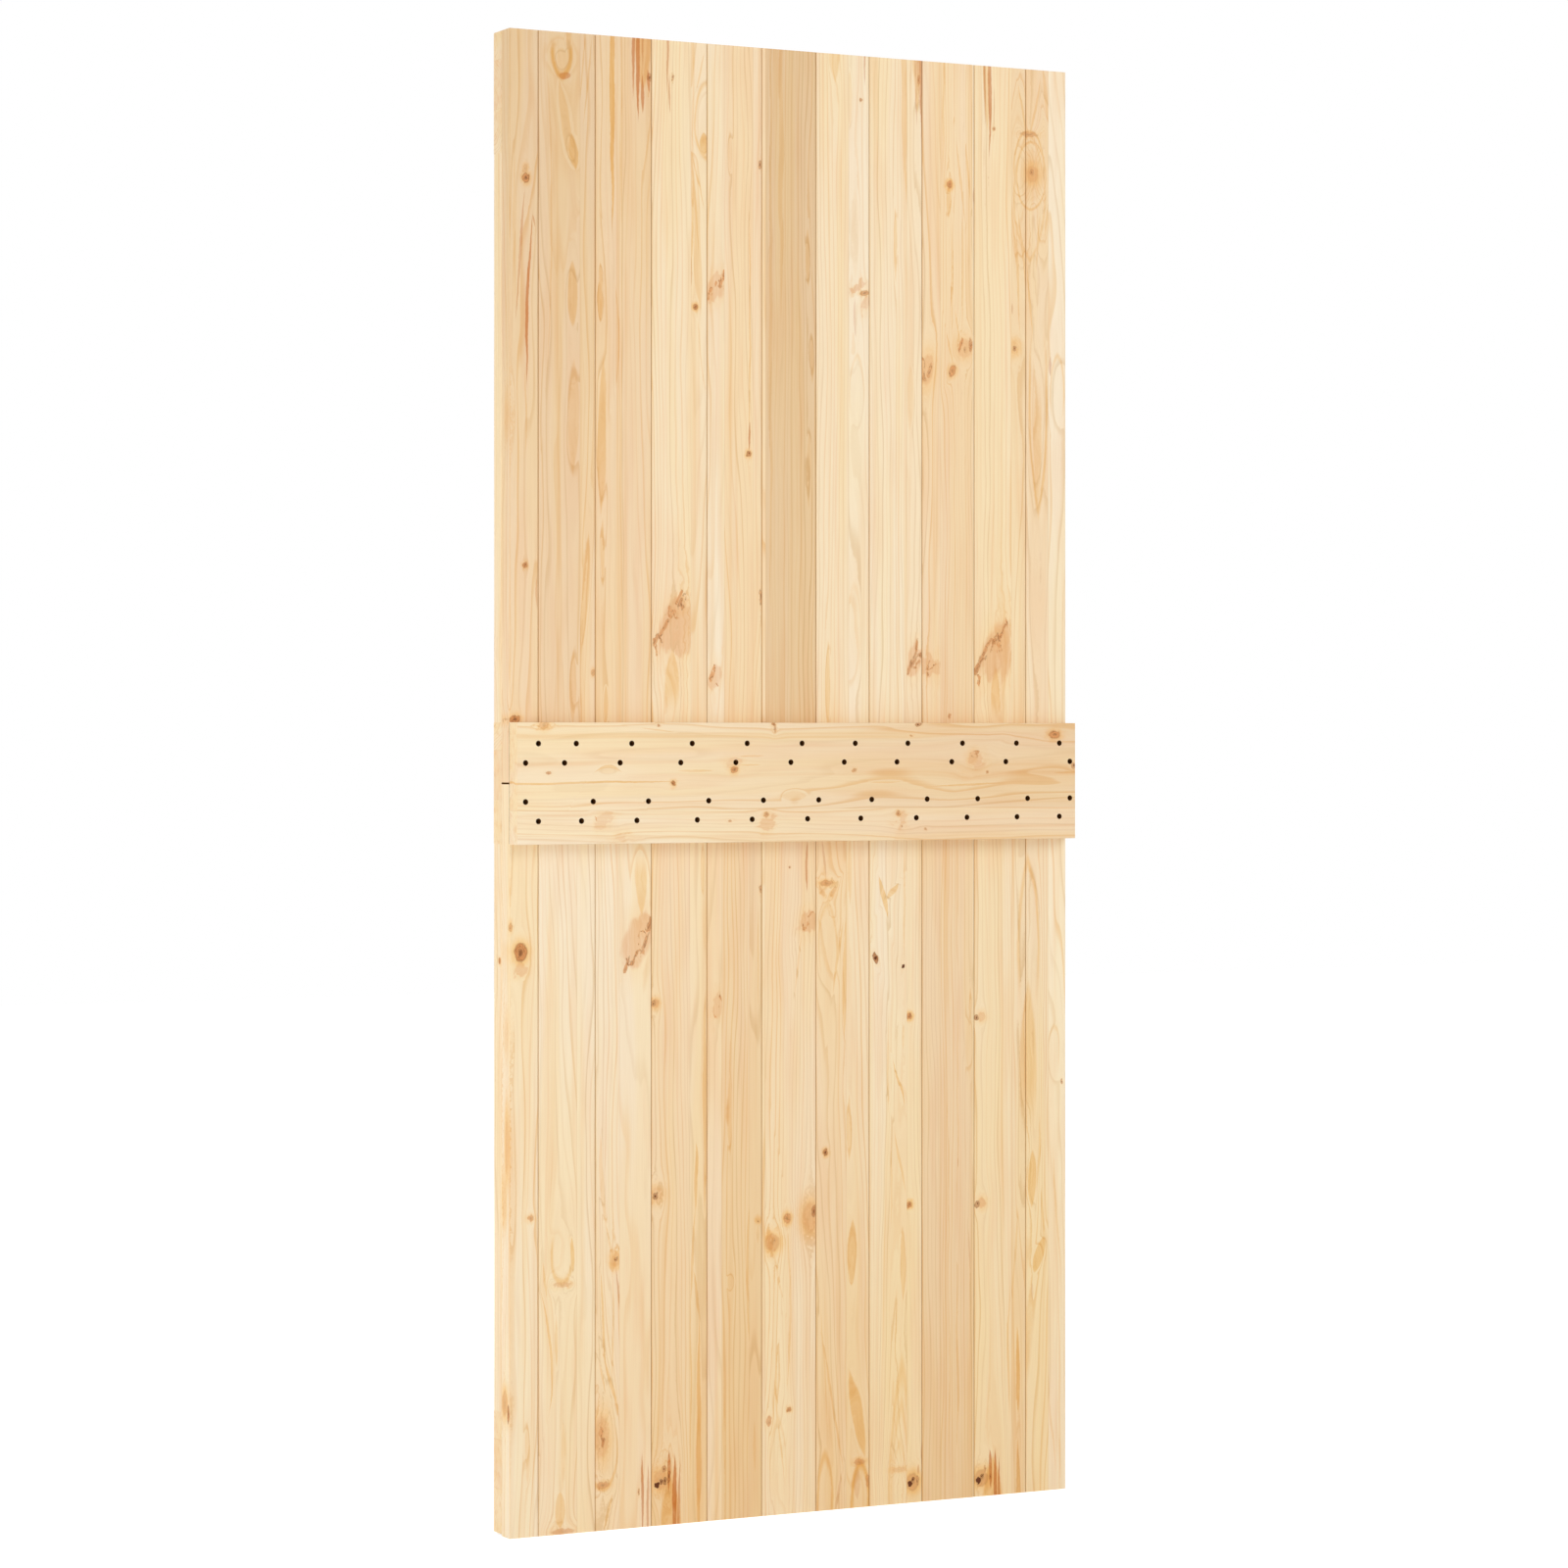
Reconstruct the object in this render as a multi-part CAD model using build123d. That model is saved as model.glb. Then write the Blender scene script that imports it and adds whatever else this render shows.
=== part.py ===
"""Leaf of a sliding barn door in solid pine.

The leaf is a core of upright tongued and grooved boards, cut in an upper and a lower half
that meet at mid height. On the room side three rails and four stiles frame the core. On the
wall side one wide batten covers the joint between the halves, and rows of deep recesses in it
take the screws that tie both halves to it and to the middle rail.

Millimetres, +Z up. The origin is the middle of the top rail's room-side face, where the
hanger straps bolt on. +Y points into the room, and +X is to the right seen from the wall side.
"""

import math
import os

from build123d import *

# The leaf
leaf_width = 900.0
leaf_height = 2100.0
half_gap = 1.5  # open joint between the upper and the lower boards

# The upright boards
board_thickness = 27.0
board_cover = 87.5  # from one joint to the next
first_board_width = 44.0  # the board at the left edge is ripped down
least_last_width = 30.0  # a narrower strip at the right edge would split
face_joint = 0.5  # between the faces of two boards
board_arris = 1.0  # chamfer along each long edge of a board
tongue_length = 7.0
tongue_thickness = 8.0
tongue_arris = 1.0
groove_clearance = 0.3  # on each side of the tongue
groove_end_clearance = 0.7  # past the tongue's end

# The frame on the room side
rail_width = 170.0
stile_width = 170.0
frame_thickness = 27.0
frame_arris = 1.5
bottom_rail_lift = 2.5  # the bottom rail stops short of the boards' lower ends

# The batten on the wall side
batten_width = 170.0
batten_thickness = 27.0
batten_arris = 1.0

# The recesses in the batten that the screw heads are sunk in, set out by eye
recess_diameter = 8.0
recess_depth = 15.0
rows_lift = 1.5  # from the batten's middle to the middle of the four rows
inner_row_offset = 27.0  # from the rows' middle to the two inner rows
outer_row_offset = 54.0  # from the rows' middle to the two outer rows
pair_stagger = 18.0  # from the outer to the inner screw of a pair, along the batten
# Middle of each pair, from the middle of its board, beginning at the second board
upper_pair_shifts = (-7.0, -9.0, -2.0, -2.5, -2.0, -3.0, -4.0, -0.5, 3.0)
lower_pair_shifts = (19.0, 17.0, 24.0, 23.5, 25.0, 24.0, 28.0, 25.0, 22.0)
left_inner_inset = 12.5  # inner-row end screws, from the batten's left end
left_outer_inset = 32.0  # outer-row end screws, from the batten's left end
right_inner_inset = 9.0
right_outer_inset = 27.0

# Where the layers and levels lie
left_edge = -leaf_width / 2
right_edge = leaf_width / 2
top_level = rail_width / 2
bottom_level = top_level - leaf_height
mid_level = (top_level + bottom_level) / 2
frame_back = -frame_thickness
board_middle = frame_back - board_thickness / 2
board_face = frame_back - board_thickness
batten_face = board_face - batten_thickness


def board_spans():
    """Left and right joint lines of each board, from the left edge of the leaf."""
    joints = [left_edge, left_edge + first_board_width]
    while right_edge - joints[-1] >= board_cover + least_last_width:
        joints.append(joints[-1] + board_cover)
    joints.append(right_edge)
    return list(zip(joints, joints[1:]))


def board_section(width, has_groove, has_tongue):
    """Section of one board: groove on its left edge, tongue on its right edge."""
    groove_width = tongue_thickness + 2 * groove_clearance
    # The groove is measured from the board's own face edge, so the joint's gap comes off.
    groove_depth = tongue_length - face_joint + groove_end_clearance
    with BuildSketch() as section:
        Rectangle(width, board_thickness)
        chamfer(section.vertices(), board_arris)
        if has_tongue:
            with Locations((width / 2, 0)):
                Rectangle(tongue_length, tongue_thickness, align=(Align.MIN, Align.CENTER))
            tongue_tip = section.vertices().group_by(Axis.X)[-1]
            chamfer(tongue_tip, tongue_arris)
        if has_groove:
            with Locations((-width / 2, 0)):
                Rectangle(groove_depth, groove_width, align=(Align.MIN, Align.CENTER),
                          mode=Mode.SUBTRACT)
    return section.sketch


def board(span, is_first, is_last, foot, height):
    """One upright board of the core, standing on the level foot."""
    left, right = span
    face_left = left if is_first else left + face_joint / 2
    face_right = right if is_last else right - face_joint / 2
    section = board_section(face_right - face_left, not is_first, not is_last)
    place = Location(((face_left + face_right) / 2, board_middle, foot))
    return place * extrude(section, amount=height)


def eased_plank(length, width, thickness, arris, grain):
    """A planed plank along the axis grain, with its long edges rounded over."""
    across = {Axis.X: Plane.YZ, Axis.Z: Plane.XY}[grain]
    sizes = (thickness, width) if grain == Axis.X else (width, thickness)
    with BuildPart() as plank:
        with BuildSketch(across):
            RectangleRounded(*sizes, arris)
        extrude(amount=length / 2, both=True)
    return plank.part


def rail(level):
    """A rail across the room side, its middle at the given level."""
    plank = eased_plank(leaf_width, rail_width, frame_thickness, frame_arris, Axis.X)
    return Location((0, frame_back / 2, level)) * plank


def stile(side, low, high):
    """A stile between two rails, flush with the left (-1) or the right (1) edge."""
    plank = eased_plank(high - low, stile_width, frame_thickness, frame_arris, Axis.Z)
    middle = side * (leaf_width - stile_width) / 2
    return Location((middle, frame_back / 2, (low + high) / 2)) * plank


def screw_places():
    """Screw recesses in the batten as (x, height above the rows' middle)."""
    places = []
    for number, (left, right) in enumerate(board_spans()[1:-1]):
        middle = (left + right) / 2
        upper = middle + upper_pair_shifts[number % len(upper_pair_shifts)]
        lower = middle + lower_pair_shifts[number % len(lower_pair_shifts)]
        places += [
            (upper + pair_stagger / 2, outer_row_offset),
            (upper - pair_stagger / 2, inner_row_offset),
            (lower + pair_stagger / 2, -inner_row_offset),
            (lower - pair_stagger / 2, -outer_row_offset),
        ]
    for up in (-1, 1):
        places += [
            (left_edge + left_outer_inset, up * outer_row_offset),
            (left_edge + left_inner_inset, up * inner_row_offset),
            (right_edge - right_inner_inset, up * inner_row_offset),
            (right_edge - right_outer_inset, up * outer_row_offset),
        ]
    return places


def wall_side_batten():
    """The batten over the joint of the halves, with its rows of screw recesses."""
    plank = eased_plank(leaf_width, batten_width, batten_thickness, batten_arris, Axis.X)
    # The recesses are drilled from the wall side, on a plane that looks away from the room.
    rows_middle = (0, -batten_thickness / 2, rows_lift)
    wall_face = Plane(origin=rows_middle, x_dir=(1, 0, 0), z_dir=(0, -1, 0))
    with BuildPart() as batten:
        add(plank)
        with Locations(wall_face):
            with Locations(*screw_places()):
                Hole(radius=recess_diameter / 2, depth=recess_depth)
    return Location((0, board_face - batten_thickness / 2, mid_level)) * batten.part


def all_parts():
    """Every piece of the leaf under its own name."""
    parts = {}
    board_height = (leaf_height - half_gap) / 2
    spans = board_spans()
    for number, span in enumerate(spans, start=1):
        ends = (number == 1, number == len(spans))
        upper_foot = mid_level + half_gap / 2
        parts[f"upper_board_{number:02d}"] = board(span, *ends, upper_foot, board_height)
        parts[f"lower_board_{number:02d}"] = board(span, *ends, bottom_level, board_height)

    top_rail_level = top_level - rail_width / 2
    bottom_rail_level = bottom_level + bottom_rail_lift + rail_width / 2
    parts["top_rail"] = rail(top_rail_level)
    parts["middle_rail"] = rail(mid_level)
    parts["bottom_rail"] = rail(bottom_rail_level)
    for side, name in ((-1, "left"), (1, "right")):
        parts[f"upper_{name}_stile"] = stile(
            side, mid_level + rail_width / 2, top_rail_level - rail_width / 2)
        parts[f"lower_{name}_stile"] = stile(
            side, bottom_rail_level + rail_width / 2, mid_level - rail_width / 2)

    parts["wall_side_batten"] = wall_side_batten()
    return parts


os.makedirs("parts", exist_ok=True)
for name, piece in all_parts().items():
    piece.label = name
    export_step(piece, f"parts/{name}.step")
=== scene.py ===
import math

import bmesh
import bpy
from mathutils import Matrix, Vector


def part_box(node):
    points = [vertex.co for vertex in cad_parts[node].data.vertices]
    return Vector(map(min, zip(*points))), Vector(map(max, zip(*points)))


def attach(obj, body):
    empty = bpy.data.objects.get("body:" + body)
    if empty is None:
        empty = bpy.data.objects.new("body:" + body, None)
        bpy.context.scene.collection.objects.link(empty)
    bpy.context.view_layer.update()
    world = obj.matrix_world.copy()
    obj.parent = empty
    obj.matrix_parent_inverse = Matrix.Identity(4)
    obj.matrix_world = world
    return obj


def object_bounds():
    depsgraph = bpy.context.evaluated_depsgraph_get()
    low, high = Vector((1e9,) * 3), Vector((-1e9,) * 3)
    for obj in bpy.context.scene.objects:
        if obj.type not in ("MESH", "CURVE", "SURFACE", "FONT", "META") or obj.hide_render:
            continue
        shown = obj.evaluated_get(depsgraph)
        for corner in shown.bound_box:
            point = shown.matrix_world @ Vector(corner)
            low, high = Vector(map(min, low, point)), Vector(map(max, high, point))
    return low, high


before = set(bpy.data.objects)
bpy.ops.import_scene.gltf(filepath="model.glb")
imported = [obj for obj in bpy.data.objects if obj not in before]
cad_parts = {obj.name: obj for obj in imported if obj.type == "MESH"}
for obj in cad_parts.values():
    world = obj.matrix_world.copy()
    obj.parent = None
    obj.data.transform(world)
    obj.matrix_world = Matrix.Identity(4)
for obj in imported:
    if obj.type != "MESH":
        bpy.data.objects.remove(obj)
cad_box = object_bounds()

# The upright boards. Each is planed from pine strips glued edge to edge, with a groove on its
# left edge and a tongue on its right one. They are pressed together dry and left unfinished,
# so every strip keeps its own grain, knots, resin streaks and tone.

millimetre = 0.001
leaf_low, leaf_high = cad_box[0], cad_box[1]
leaf_left = leaf_low[0]
leaf_foot = leaf_low[2]
leaf_width = (leaf_high[0] - leaf_left) / millimetre
leaf_height = (leaf_high[2] - leaf_foot) / millimetre
batten_low, batten_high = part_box("wall_side_batten")
batten_half_height = (batten_high[2] - batten_low[2]) / 2 / millimetre
board_face = batten_high[1] / millimetre
half_gap = 0.75  # of the open joint between the upper and the lower boards
ring_width = 5.0


def linked(name, data):
    """A new object in the scene, made from a mesh, a lamp or a camera."""
    added = bpy.data.objects.new(name, data)
    bpy.context.scene.collection.objects.link(added)
    return added


def as_mesh(name, shape):
    """The finished shape as mesh data."""
    data = bpy.data.meshes.new(name)
    shape.to_mesh(data)
    shape.free()
    return data


def empty_tree(owner):
    """The node tree of a material or a world, with nothing in it yet."""
    owner.use_nodes = True
    owner.node_tree.nodes.clear()
    return owner.node_tree


def surface_of(tree, shader, kind="Material"):
    """Shows a shader as the surface of its material or world."""
    output = tree.nodes.new("ShaderNodeOutput" + kind)
    tree.links.new(shader.outputs[0], output.inputs["Surface"])


def srgb(red, green, blue):
    """A colour as it looks on a screen, 0 to 255, as the linear colour a shader takes."""
    def linear(value):
        value /= 255
        return value / 12.92 if value <= 0.04045 else ((value + 0.055) / 1.055) ** 2.4
    return (linear(red), linear(green), linear(blue), 1.0)


def plug(tree, value, socket):
    """Joins a signal to a socket, or sets the socket to a plain value."""
    if isinstance(value, Signal):
        tree.links.new(value.socket, socket)
    else:
        socket.default_value = value


class Signal:
    """A value on its way through a node tree. Arithmetic on it adds Math nodes."""

    def __init__(self, tree, socket):
        self.tree = tree
        self.socket = socket

    def maths(self, operation, *others):
        node = self.tree.nodes.new("ShaderNodeMath")
        node.operation = operation
        for value, socket in zip((self, *others), node.inputs):
            plug(self.tree, value, socket)
        return Signal(self.tree, node.outputs[0])

    def __add__(self, other):
        return self.maths("ADD", other)

    def __sub__(self, other):
        return self.maths("SUBTRACT", other)

    def __mul__(self, other):
        return self.maths("MULTIPLY", other)

    def __truediv__(self, other):
        return self.maths("DIVIDE", other)

    def __abs__(self):
        return self.maths("ABSOLUTE")

    def rising(self, low, high):
        """0 below low, 1 above high, and a smooth step between them."""
        node = self.tree.nodes.new("ShaderNodeMapRange")
        node.interpolation_type = "SMOOTHSTEP"
        plug(self.tree, self, node.inputs["Value"])
        plug(self.tree, low, node.inputs["From Min"])
        plug(self.tree, high, node.inputs["From Max"])
        return Signal(self.tree, node.outputs["Result"])

    def falling(self, low, high):
        """1 below low, 0 above high."""
        node = self.rising(low, high)
        node.socket.node.inputs["To Min"].default_value = 1
        node.socket.node.inputs["To Max"].default_value = 0
        return node


def split(vector):
    """The three parts of a vector signal."""
    node = vector.tree.nodes.new("ShaderNodeSeparateXYZ")
    plug(vector.tree, vector, node.inputs[0])
    return [Signal(vector.tree, socket) for socket in node.outputs]


def joined(x, y, z):
    """Three values as one vector signal."""
    node = x.tree.nodes.new("ShaderNodeCombineXYZ")
    for value, socket in zip((x, y, z), node.inputs):
        plug(x.tree, value, socket)
    return Signal(x.tree, node.outputs[0])


def noise(vector, across, along, seed, detail=1.0):
    """Soft noise from 0 to 1, with that many features a millimetre across and along the grain."""
    tree = vector.tree
    scaled = tree.nodes.new("ShaderNodeVectorMath")
    scaled.operation = "MULTIPLY_ADD"
    plug(tree, vector, scaled.inputs[0])
    scaled.inputs[1].default_value = (across, across, along)
    if isinstance(seed, Signal):
        plug(tree, joined(seed, seed, seed), scaled.inputs[2])
    else:
        scaled.inputs[2].default_value = (seed, seed, seed)
    node = tree.nodes.new("ShaderNodeTexNoise")
    tree.links.new(scaled.outputs[0], node.inputs["Vector"])
    node.inputs["Scale"].default_value = 1.0
    node.inputs["Detail"].default_value = detail
    return Signal(tree, node.outputs["Fac"])


def blended(mode, amount, under, over):
    """The colour over laid on the colour under, in one of the mix node's modes."""
    tree = amount.tree
    node = tree.nodes.new("ShaderNodeMix")
    node.data_type = "RGBA"
    node.blend_type = mode
    node.clamp_factor = True
    plug(tree, amount, node.inputs["Factor"])
    plug(tree, under, node.inputs[6])
    plug(tree, over, node.inputs[7])
    return Signal(tree, node.outputs[2])


def new_group(name, inputs, outputs):
    """An empty shader group. Its inputs are {name: plain value}, its outputs {name: kind}."""
    tree = bpy.data.node_groups.new(name, "ShaderNodeTree")
    kinds = {1: "NodeSocketFloat", 3: "NodeSocketVector", 4: "NodeSocketColor"}
    for label, value in inputs.items():
        size = len(value) if isinstance(value, tuple) else 1
        socket = tree.interface.new_socket(label, in_out="INPUT", socket_type=kinds[size])
        socket.default_value = value
    for label, kind in outputs.items():
        tree.interface.new_socket(label, in_out="OUTPUT", socket_type="NodeSocket" + kind)
    source = tree.nodes.new("NodeGroupInput")
    given = {label: Signal(tree, source.outputs[label]) for label in inputs}
    result = tree.nodes.new("NodeGroupOutput")
    return tree, given, result


def placed(tree, group, **values):
    """One use of a shader group in a node tree, with its inputs set. Its outputs by name."""
    node = tree.nodes.new("ShaderNodeGroup")
    node.node_tree = group
    for label, value in values.items():
        plug(tree, value, node.inputs[label.replace("_", " ")])
    return {socket.name: Signal(tree, socket) for socket in node.outputs}


# Tints against the palest wood: latewood lines grey or orange, and broad yellow or rosy zones.
grey_line_tint = (0.84, 0.74, 0.60, 1.0)
orange_line_tint = (0.91, 0.74, 0.52, 1.0)
yellow_tint = (1.0, 0.985, 0.91, 1.0)
rosy_tint = (0.985, 0.94, 0.91, 1.0)


def growth_rings():
    """Rings round the tree's pith, sliced by whatever face shows them, with fibres along them."""
    tree, given, result = new_group(
        "growth rings",
        {"Grain": (0.0, 0.0, 0.0), "Swell": 0.0, "Pith Across": 0.0, "Pith Out": 0.0, "Tilt": 0.0,
         "Ring Width": 4.0, "Contrast": 0.5, "Seed": 0.0, "Timber": (0.8, 0.7, 0.5, 1.0)},
        {"Color": "Color", "Latewood": "Float", "Fibre": "Float"})
    grain, seed, contrast = given["Grain"], given["Seed"], given["Contrast"]
    across, out, along = split(grain)
    wander = noise(grain, 0.013, 0.0017, seed, 2)
    ripple = noise(grain, 0.055, 0.005, seed + 5.3)
    bands = noise(grain, 0.10, 0.0009, seed + 11.1, 2)
    zones = noise(grain, 0.035, 0.0018, seed + 23.9, 1)
    fibre = noise(grain, 0.8, 0.014, seed + 17.7, 2)
    from_pith = across - given["Pith Across"]
    behind_pith = out - given["Pith Out"] + given["Tilt"] * along
    radius = (from_pith * from_pith + behind_pith * behind_pith).maths("SQRT")
    phase = radius / given["Ring Width"] + (wander - 0.5) * 7 + (ripple - 0.5) * 1.2 + given["Swell"]
    ring = phase.maths("FLOOR")
    season = phase - ring
    draws = tree.nodes.new("ShaderNodeTexWhiteNoise")
    draws.noise_dimensions = "1D"
    plug(tree, ring + seed, draws.inputs["W"])
    strength, warmth, _ = split(Signal(tree, draws.outputs["Color"]))
    latewood = season.rising(0.58, 0.88) * season.falling(0.92, 1.0) * (strength * 0.8 + 0.2)
    line_tint = blended("MIX", warmth.rising(0.3, 0.7), grey_line_tint, orange_line_tint)
    color = blended("MULTIPLY", zones.rising(0.38, 0.6), given["Timber"], yellow_tint)
    color = blended("MULTIPLY", ripple.rising(0.45, 0.7), color, rosy_tint)
    color = blended("MULTIPLY", latewood * contrast, color, line_tint)
    color = blended("MULTIPLY", bands.rising(0.5, 0.75) * contrast * 0.6, color, orange_line_tint)
    color = blended("MULTIPLY", fibre.rising(0.35, 0.75) * 0.16, color, grey_line_tint)
    for label, value in (("Color", color), ("Latewood", latewood), ("Fibre", fibre)):
        plug(tree, value, result.inputs[label])
    return tree


def flowing_round(grain, sideways, wide, long, share):
    """The grain pushed aside by something of that width and length, as a new vector signal."""
    across, out, along = split(grain)
    slender = long * 0.45
    nearness = (wide * wide + slender * slender).maths("MAXIMUM", 1.0)
    return joined(across - sideways * share / nearness, out, along)


def knot_group():
    """A branch cut through: its body, dark parts and stained halo, and the grain round it."""
    tree, given, result = new_group(
        "knot",
        {"Grain": (0.0, 0.0, 0.0), "Place": (0.0, 0.0, 0.0), "Body": 0.0, "Dark": 0.0, "Halo": 0.0,
         "Across": 0.0, "Out": 0.0, "Along": 0.0, "Half Width": 5.0, "Half Depth": 1000.0,
         "Half Length": 5.0, "Turn": 0.0, "Body Depth": 1.0, "Dark Depth": 1.0, "Stain": 1.0,
         "Flow": 1.0, "Here": 1.0},
        {"Grain": "Vector", "Body": "Float", "Dark": "Float", "Halo": "Float"})
    across, out, along = split(given["Place"])
    sideways = across - given["Across"]
    upwards = along - given["Along"]
    cosine = given["Turn"].maths("COSINE")
    sine = given["Turn"].maths("SINE")
    wide = (sideways * cosine + upwards * sine) / given["Half Width"]
    long = (upwards * cosine - sideways * sine) / given["Half Length"]
    inwards = (out - given["Out"]) / given["Half Depth"]
    distance = (wide * wide + long * long + inwards * inwards).maths("SQRT")
    body = distance.falling(0.75, 1.1)
    rings = (distance * given["Half Width"] * 3.2).maths("SINE") * 0.2 + 0.2
    rim = abs(distance - 0.88).falling(0.0, 0.22) * 0.45
    core = distance.falling(0.1, 0.6)
    dark = rim.maths("MAXIMUM", core).maths("MAXIMUM", body * rings) * given["Dark Depth"]
    dark = dark + body * (given["Dark Depth"] - 1).maths("MAXIMUM", 0.0)
    halo = distance.falling(0.8, 2.8)
    moved = flowing_round(given["Grain"], sideways, wide, long, given["Flow"] * given["Here"])
    plug(tree, moved, result.inputs["Grain"])
    for label, value in (("Body", body * given["Body Depth"]), ("Dark", dark),
                         ("Halo", halo * halo * given["Stain"])):
        deepest = (value * given["Here"]).maths("MAXIMUM", given[label])
        plug(tree, deepest, result.inputs[label])
    return tree


def figure_group():
    """A slender pointed mark along the grain, filled or in outline, and the grain round it.
    It is resin, or the latewood of a ring that just touches the face."""
    tree, given, result = new_group(
        "figure",
        {"Grain": (0.0, 0.0, 0.0), "Place": (0.0, 0.0, 0.0), "Honey": 0.0, "Resin": 0.0, "Swell": 0.0,
         "Across": 0.0, "Along": 0.0, "Half Width": 5.0, "Half Length": 20.0, "Lean": 0.0,
         "Bend": 0.0, "Hollow": 0.0, "Band": 0.25, "Round": 0.0, "Open": 0.0, "Honey Depth": 0.0,
         "Resin Depth": 0.0, "Rings": 0.0, "Here": 1.0},
        {"Grain": "Vector", "Honey": "Float", "Resin": "Float", "Swell": "Float"})
    across, _, along = split(given["Place"])
    upwards = along - given["Along"]
    long = upwards / given["Half Length"]
    sideways = across - given["Across"] - given["Lean"] * upwards - given["Bend"] * long * long
    wide = sideways / given["Half Width"]
    pointed = abs(wide)
    shape = pointed + (wide * wide - pointed) * given["Round"] + long * long
    filled = shape.falling(0.6, 1.0)
    outline = abs(shape - 1 + given["Band"] * 0.6).falling(0.0, given["Band"])
    edged = filled * 0.75 + outline * 0.35
    mark = (edged + (outline - edged) * given["Hollow"]) * (long * given["Open"]).falling(0.0, 0.7)
    for label in ("Honey", "Resin"):
        deepest = (mark * given[label + " Depth"] * given["Here"]).maths("MAXIMUM", given[label])
        plug(tree, deepest, result.inputs[label])
    bump = (wide * wide * 0.3 + long * long * 0.8).falling(0.0, 1.0) * given["Rings"] * given["Here"]
    plug(tree, given["Swell"] + bump, result.inputs["Swell"])
    moved = flowing_round(given["Grain"], sideways, wide, long, given["Here"] * 0.6)
    plug(tree, moved, result.inputs["Grain"])
    return tree


rings_group = growth_rings()
knots_group = knot_group()
figures_group = figure_group()


def knot(across, along, width, length, turn=0.0, body=0.85, dark=0.8, stain=0.7, **more):
    """A knot's place and size in millimetres, and its turn in degrees."""
    return "knot", {"Across": across, "Along": along, "Half_Width": width / 2,
                    "Half_Length": length / 2, "Turn": math.radians(turn),
                    "Body_Depth": body, "Dark_Depth": dark, "Stain": stain, **more}


def spike(across, along, width, length, turn, body=0.3):
    """A branch sawn along its length, a long pale patch with torn edges."""
    return "spike", knot(across, along, width, length, turn, body, 0.0, 0.25, Flow=0.25)[1]


def crust(across, along, width, length, turn=0.0, dark=0.35):
    """A red-brown crumb of bark left in a spike."""
    return "spike", knot(across, along, width, length, turn, 0.8, dark, 0.35, Flow=0.0)[1]


def edge_mark(out, along, width, length, body=0.9, dark=0.0, stain=0.5, inwards=8.0):
    """A mark on the leaf's left edge face, its place and width measured out from the room side,
    and how far it reaches into the wood."""
    return knot(0, along, inwards * 2, length, 0, body, dark, stain, Out=out, Half_Depth=width / 2)


def dab(across, along, width, length, turn=0.0, dark=0.8):
    """A dark speck of bark or resin, with no halo of its own."""
    return knot(across, along, width, length, turn, 0.6, dark, 0.25)


def figure(across, low, high, width, lean, bend, roundness=0.0, opening=0.0, **depths):
    """Where a figure runs: its middle, ends and width in millimetres. Opening is 1 where only
    the lower end shows, and -1 where only the upper one does."""
    return "figure", {"Across": across, "Along": (low + high) / 2, "Half_Width": width / 2,
                      "Half_Length": (high - low) / 2, "Lean": lean, "Bend": bend,
                      "Round": roundness, "Open": opening, **depths}


def flame(across, low, high, width, depth=0.6, lean=0.0, bend=0.0, opening=0.0, roundness=0.2):
    """Honey-coloured latewood, where a ring just touches the face."""
    return figure(across, low, high, width, lean, bend, roundness, opening, Honey_Depth=depth, Rings=0.8)


def line(across, low, high, width=3.0, depth=0.5, lean=0.0, bend=0.0):
    """The latewood line of a single ring."""
    return figure(across, low, high, width, lean, bend, Honey_Depth=depth)


def loop(across, low, high, width, depth=0.3, opening=0.0, rings=1.0, roundness=0.8, band=0.25):
    """Rings that close round a bulge, in outline."""
    return figure(across, low, high, width, 0.0, 0.0, roundness, opening, Hollow=1.0, Band=band,
                  Honey_Depth=depth, Rings=rings)


def streak(across, low, high, width=2.5, depth=0.6, lean=0.0, bend=0.0, roundness=0.0):
    """Red-brown resin along the grain."""
    return figure(across, low, high, width, lean, bend, roundness, Resin_Depth=depth)


# Timber tones, from the palest sapwood to the warmest heartwood, and three yellower ones.
timber = {
    "white": srgb(254, 238, 211),
    "cream": srgb(250, 232, 203),
    "straw": srgb(249, 227, 192),
    "honey": srgb(247, 221, 185),
    "fawn": srgb(244, 216, 179),
    "tan": srgb(240, 211, 173),
    "brown": srgb(234, 204, 165),
    "umber": srgb(230, 198, 156),
    "wheat": srgb(248, 222, 178),
    "corn": srgb(244, 214, 170),
    "oat": srgb(240, 208, 163),
}
honey_tint = (0.91, 0.69, 0.37, 1.0)
resin_color = srgb(200, 116, 46)
knot_color = srgb(222, 152, 92)
knot_dark = srgb(98, 50, 17)
halo_tint = (0.97, 0.80, 0.55, 1.0)
# Painted shade: the joint, chamfer, deep and gap tints, and the two recess colours below.
joint_shade_tint = (0.55, 0.42, 0.30, 1.0)
chamfer_shade_tint = (0.93, 0.86, 0.76, 1.0)
deep_shade_tint = (0.12, 0.06, 0.025, 1.0)
end_grain_tint = (0.98, 0.95, 0.90, 1.0)
recess_shade_color = srgb(118, 68, 14)
recess_mouth_shade_color = srgb(72, 42, 12)
gap_shade_tint = (0.32, 0.19, 0.09, 1.0)


def strip(left, tone, head=None, pith=None, out=None, tilt=None):
    """One glued strip: its left or lower edge and its pith in millimetres on the leaf, its tone
    at the foot and at the head, and how far its pith runs off true a millimetre. What isn't
    given is drawn from the edge."""
    draw = math.sin(left * 12.9898) * 43758.5453
    chance = draw - math.floor(draw)
    return {"left": left, "tone": timber[tone], "head": timber[head or tone], "number": chance * 50,
            "pith": left - 40 + 120 * chance if pith is None else pith,
            "out": 5 + 45 * ((chance * 7) % 1) if out is None else out,
            "tilt": 0.03 * (((chance * 13) % 1) - 0.5) if tilt is None else tilt}


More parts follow.
